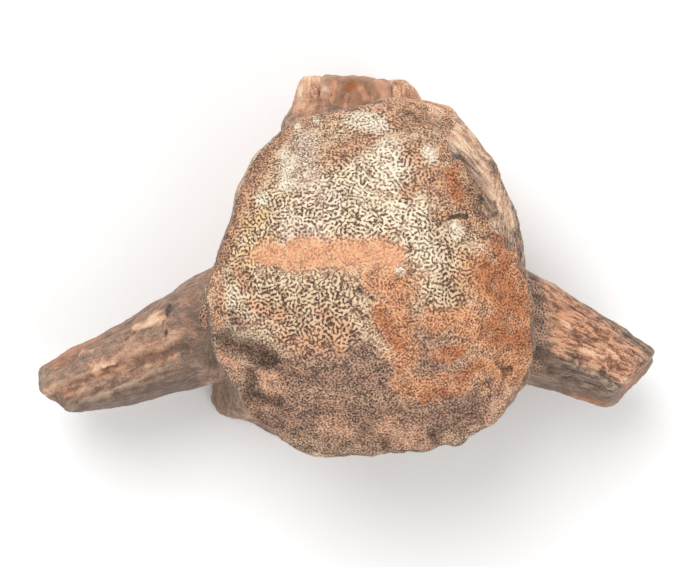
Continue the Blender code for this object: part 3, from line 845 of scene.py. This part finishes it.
def three_tones(tree, value, dark, middle, bright):
    """Dark at 0, middle at 0.5 and bright at 1."""
    lower = add(tree, "ShaderNodeMapRange", value, 0.0, 0.5, 0.0, 1.0)
    upper = add(tree, "ShaderNodeMapRange", value, 0.5, 1.0, 0.0, 1.0)
    return (blend(tree, upper, blend(tree, lower, dark, middle), bright),)


def ragged_patch(tree, field, unevenness, amount, softness):
    """A mask from a painted field, with an edge made uneven by this amount of noise."""
    field = calc(tree, "MULTIPLY_ADD", calc(tree, "SUBTRACT", unevenness, 0.5), amount, field)
    return (ease(tree, field, calc(tree, "MULTIPLY", softness, -1.0), softness),)


def dirt_and_painted_shade(tree, colour, hollow, strength):
    """Hollows keep brown dirt and painted shade, and what stands proud is rubbed paler."""
    # darker in hollows: dirt and painted shade
    dirt = calc(tree, "MULTIPLY", ease(tree, hollow, 0.02, 0.30), strength)
    rubbed = calc(tree, "MULTIPLY", ease(tree, hollow, -0.02, -0.30), strength)
    darkened = blend(tree, calc(tree, "MULTIPLY", dirt, 0.60), colour, linear(70, 50, 38))
    return (blend(tree, calc(tree, "MULTIPLY", rubbed, 0.16), darkened, linear(225, 208, 186)),)


TONES = shader_group("three tones", (("Value", FLOAT), ("Dark", COLOUR), ("Middle", COLOUR),
                                     ("Bright", COLOUR)), (("Colour", COLOUR),), three_tones)
PATCH = shader_group("ragged patch", (("Field", FLOAT), ("Noise", FLOAT), ("Amount", FLOAT),
                                      ("Softness", FLOAT)), (("Mask", FLOAT),), ragged_patch)
DIRT_AND_SHADE = shader_group("dirt and painted shade in hollows", (("Colour", COLOUR), ("Hollow", FLOAT), ("Strength", FLOAT)),
                    (("Colour", COLOUR),), dirt_and_painted_shade)


# %% Helpers for materials
def new_material(name, roughness):
    material = bpy.data.materials.new(name)
    material.use_nodes = True
    tree = material.node_tree
    shader = tree.nodes["Principled BSDF"]
    shader.inputs["Roughness"].default_value = roughness
    return material, tree, shader


def kept(tree, name, out=2):
    """What keep() stored for each point: a value, or with out=1 a vector."""
    return add(tree, "ShaderNodeAttribute", out=out, attribute_name=name)


LIGHT = 1.27                                 # how much light an upward surface gets here


def tone(*screen):
    """The colour that a surface needs to look like this one in the studio's light."""
    return (*(c / LIGHT for c in linear(*screen)[:3]), 1.0)


def tones(tree, value, dark, middle, bright):
    return use(tree, TONES, value, tone(*dark), tone(*middle), tone(*bright))


def finish_surface(tree, shader, colour, height, strength, depth):
    """Gives the surface its colour, and a faint bump too fine for the mesh."""
    tree.links.new(colour, shader.inputs["Base Color"])
    bump = add(tree, "ShaderNodeBump", strength, depth, None, height)
    tree.links.new(bump, shader.inputs["Normal"])


# %% The joint surface
# Each kind of stain or painted shade: how ragged and how soft its edge is, and its dark, middle and
# bright tone.
FACE_TONES = {
    "bold": (2.6, 0.8, (80, 56, 40), (174, 133, 102), (255, 238, 202)),
    "cream": (2.6, 0.9, (118, 86, 66), (218, 184, 150), (255, 248, 218)),
    "chalky": (1.8, 0.9, (106, 82, 66), (202, 168, 142), (252, 238, 216)),
    "yellow": (2.2, 0.8, (96, 66, 48), (190, 145, 107), (250, 214, 156)),
    "umber": (2.4, 0.9, (72, 50, 36), (162, 123, 94), (242, 212, 172)),
    "grey_and_painted_shade": (1.8, 0.9, (60, 44, 36), (122, 94, 78), (200, 153, 126)),
    "brown": (2.0, 0.8, (76, 52, 39), (158, 115, 87), (242, 186, 144)),
    "orange": (2.2, 0.7, (106, 66, 44), (194, 128, 91), (250, 184, 132)),
    "rosy": (2.0, 0.7, (108, 78, 62), (194, 145, 117), (248, 196, 158)),
    # grey tone with painted shade, for the lower part of the face
    "smear": (2.8, 0.45, (198, 134, 98), (238, 167, 124), (250, 196, 148)),
    "rust": (2.0, 0.6, (98, 56, 32), (174, 106, 64), (224, 144, 92)),
    # pit: painted shade in the pits and grooves
    "pit": (1.2, 0.6, (45, 32, 24), (97, 73, 56), (155, 119, 94)),
    "edge": (1.8, 0.8, (56, 40, 30), (122, 90, 69), (206, 156, 122)),
    "white": (2.4, 0.7, (150, 116, 88), (244, 222, 184), (255, 252, 236)),
    "mark": (0.8, 0.5, (40, 30, 24), (70, 54, 42), (120, 94, 76)),
}

# Small blotches all over: their size, how strong they are, and their tones.
BLOTCHES = ((4.3 * MM, 0.55, (84, 60, 46), (146, 109, 85), (208, 162, 128)),
            (5.7 * MM, 0.30, (118, 82, 60), (208, 150, 116), (254, 204, 162)))


GROUND = 0.12                                # how far the middle ground stands out of the grooves
# Painted glints: small bright dots added to the tone as highlights.
PAINTED_GLINTS = 0.5                                # how far the small bright dots stand out
SANDINESS = 0.6                              # how far the finer parts are grains, not curls
UNEVENNESS = 1.6                             # how strongly the finest and the widest noise tell


def lit(tree, value, unevenness, amount, level):
    """Makes some granules brighter than others."""
    return calc(tree, "MULTIPLY", value, calc(tree, "MULTIPLY_ADD", unevenness, amount, level))


def curls(tree, point, pitch, unevenness):
    """The granules' tones: dark grooves, a middle ground, and crests, some brighter than others."""
    pattern = maze(tree, point, pitch)
    crests = lit(tree, ease(tree, pattern, *CREST_EDGE), unevenness, 3.2, -0.7)
    return calc(tree, "MULTIPLY_ADD", ease(tree, pattern, *GROUND_EDGE), GROUND, crests)


def joint_material():
    material, tree, shader = new_material("joint_bone", 0.62)
    point = kept(tree, "skin", 1)
    speck = grain(tree, point, 0.45 * MM, 1.0)
    ragged = grain(tree, point, 4.0 * MM, 5.0, 0.7)
    bold = curls(tree, point, BOLD_PITCH, grain(tree, point, 1.6 * MM, 2.0))
    small = curls(tree, point, SMALL_PITCH, grain(tree, point, 0.8 * MM, 2.0, 0.7))
    sand = ease(tree, grain(tree, point, 0.7 * MM, 2.0, 0.7), 0.39, 0.63)
    small = add(tree, "ShaderNodeMix", SANDINESS, small, sand)
    is_bold = use(tree, PATCH, kept(tree, "bold"), ragged, *FACE_TONES["bold"][:2])
    value = add(tree, "ShaderNodeMix", is_bold, small, bold)
    for layer in (speck, grain(tree, point, 3.2 * MM, 4.0, 0.6)):
        value = calc(tree, "MULTIPLY_ADD", calc(tree, "SUBTRACT", layer, 0.5), UNEVENNESS, value)
    # painted glints, small bright dots
    glint_dots = grain(tree, point, 0.5 * MM)
    value = calc(tree, "MULTIPLY_ADD", ease(tree, glint_dots, 0.62, 0.70), PAINTED_GLINTS, value)
    colour = tones(tree, value, (88, 62, 47), (178, 138, 108), (250, 220, 182))
    for kind, (amount, softness, *three) in FACE_TONES.items():
        mask = use(tree, PATCH, kept(tree, kind), ragged, amount, softness)
        colour = blend(tree, mask, colour, tones(tree, value, *three))
    for size, strength, *three in BLOTCHES:
        mask = ease(tree, grain(tree, point, size, 4.0, 0.6), 0.53, 0.66, 0.0, strength)
        colour = blend(tree, mask, colour, tones(tree, value, *three))
    # dirt and painted shade in the hollows
    colour = use(tree, DIRT_AND_SHADE, colour, kept(tree, "hollow"), 1.0)
    finish_surface(tree, shader, colour, speck, 0.5, 0.15 * MM)
    return material


# %% The sides
SIDE_TONES = {
    # pink tone, on the left process partly painted highlight
    "rosy": (1.4, 0.6, (118, 88, 68), (202, 154, 126), (252, 214, 176)),
    "ember": (1.6, 0.6, (116, 80, 58), (182, 130, 99), (236, 172, 132)),
    # painted shade for the lower halves of the processes
    "painted_shade_below": (1.2, 0.6, (80, 65, 54), (130, 106, 90), (180, 148, 126)),
    # salmon tone, also used for the painted highlights on the right process
    "salmon": (1.8, 0.7, (150, 102, 76), (220, 160, 126), (255, 212, 174)),
    "crumb": (1.6, 0.7, (66, 50, 40), (128, 101, 82), (206, 164, 136)),
    "white": (1.8, 0.6, (176, 126, 96), (244, 192, 154), (255, 236, 198)),
    "mark": (0.8, 0.5, (46, 36, 30), (80, 62, 50), (126, 102, 84)),
}


def bone_material():
    material, tree, shader = new_material("side_bone", 0.68)
    point = kept(tree, "skin", 1)
    coarse, fine, on_process, worn = fibre_ridges(tree, point)
    speck = grain(tree, point, 0.45 * MM, 2.0, 0.6)
    ragged = grain(tree, point, 5 * MM, 4.0, 0.65)
    mottle = grain(tree, point, 2.8 * MM, 4.0, 0.65)
    value = 0.5
    streaky = calc(tree, "MULTIPLY_ADD", worn, 1.3, 0.6)
    finely = calc(tree, "MULTIPLY_ADD", worn, 2.6, 0.6)
    mottled = calc(tree, "MULTIPLY_ADD", on_process, -0.5, 1.5)
    specked = calc(tree, "MULTIPLY_ADD", worn, 1.0, 1.0)
    for layer, weight in ((coarse, streaky), (fine, finely), (mottle, mottled), (speck, specked)):
        value = calc(tree, "MULTIPLY_ADD", calc(tree, "SUBTRACT", layer, 0.5), weight, value)
    cover, on_body = kept(tree, "cover"), calc(tree, "SUBTRACT", 1.0, on_process)
    crumbs = lit(tree, granules(tree, point, SMALL_PITCH), coarse, 3.0, -0.7)
    crumbly = calc(tree, "MAXIMUM", ease(tree, cover, -1.0, -0.4),
                   calc(tree, "MULTIPLY", worn, 0.35))
    crumbly = calc(tree, "MAXIMUM", calc(tree, "MULTIPLY", crumbly, on_body),
                   ease(tree, kept(tree, "crumb"), -0.4, 0.6))
    value = add(tree, "ShaderNodeMix", crumbly, value, crumbs)
    colour = blend(tree, ease(tree, ragged, 0.40, 0.62),
                   tones(tree, value, (78, 63, 52), (146, 119, 101), (210, 170, 144)),
                   tones(tree, value, (86, 64, 49), (160, 122, 99), (236, 180, 146)))
    clouds = grain(tree, point, 13 * MM, 4.0, 0.6)
    pale = calc(tree, "MULTIPLY", ease(tree, clouds, 0.48, 0.60), on_body)
    colour = blend(tree, calc(tree, "MULTIPLY", pale, 0.75), colour,
                   tones(tree, value, (112, 86, 68), (202, 168, 140), (250, 228, 194)))
    for kind, (amount, softness, *three) in SIDE_TONES.items():
        mask = use(tree, PATCH, kept(tree, kind), ragged, amount, softness)
        colour = blend(tree, mask, colour, tones(tree, value, *three))
    # dirt and painted shade in the hollows
    colour = use(tree, DIRT_AND_SHADE, colour, kept(tree, "hollow"), ease(tree, cover, -1.0, -0.7, 1.0, 0.0))
    height = calc(tree, "MULTIPLY_ADD", speck, 0.5, fine)
    finish_surface(tree, shader, colour, height, 0.5, 0.3 * MM)
    return material


# %% The rock
def rock_material():
    material, tree, shader = new_material("canal_sediment", 0.85)
    point = kept(tree, "skin", 1)
    mottle = grain(tree, point, 2.5 * MM, 4.0, 0.6)
    streaks = grain(tree, stretched(tree, point, (1.0, 0.25, 0.25)), 2.2 * MM, 2.0)
    speck = grain(tree, point, 0.4 * MM, 2.0, 0.6)
    value = calc(tree, "MULTIPLY_ADD", calc(tree, "SUBTRACT", mottle, 0.5), 1.3, 0.5)
    value = calc(tree, "MULTIPLY_ADD", calc(tree, "SUBTRACT", speck, 0.5), 0.5, value)
    colour = tones(tree, value, (128, 94, 72), (178, 134, 105), (222, 172, 138))
    pink = ((170, 116, 88), (222, 160, 128), (250, 200, 164))
    colour = blend(tree, ease(tree, streaks, 0.56, 0.66), colour, tones(tree, value, *pink))
    rust, cream = FACE_TONES["rust"][2:], FACE_TONES["cream"][2:]
    for kind, three in (("rust", rust), ("salmon", pink), ("pale", cream)):
        mask = use(tree, PATCH, kept(tree, kind), mottle, 1.4, 0.5)
        colour = blend(tree, mask, colour, tones(tree, value, *three))
    # dirt and painted shade in the hollows
    colour = use(tree, DIRT_AND_SHADE, colour, kept(tree, "hollow"), 1.0)
    finish_surface(tree, shader, colour, mottle, 0.4, 0.4 * MM)
    return material


cap.data.materials.append(joint_material())
bone.data.materials.append(bone_material())
plug.data.materials.append(rock_material())
print("materials:", [p.data.materials[0].name for p in (cap, bone, plug)])

# %% [markdown]
# ## Last steps
#
# Nothing may stand outside the solid's own box, so the few points that noise pushed out are
# brought back. All pieces belong to the one body of the part.

# %% Fit the box and ride on the root
low, high = (np.array(c) for c in CAD_BOX)
for piece in (bone, cap, plug):
    place_points(piece, np.clip(points_of(piece)[0], low, high))
    piece.data.shade_smooth()
    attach(piece, "root")
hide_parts("vertebra")
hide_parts("canal_matrix")
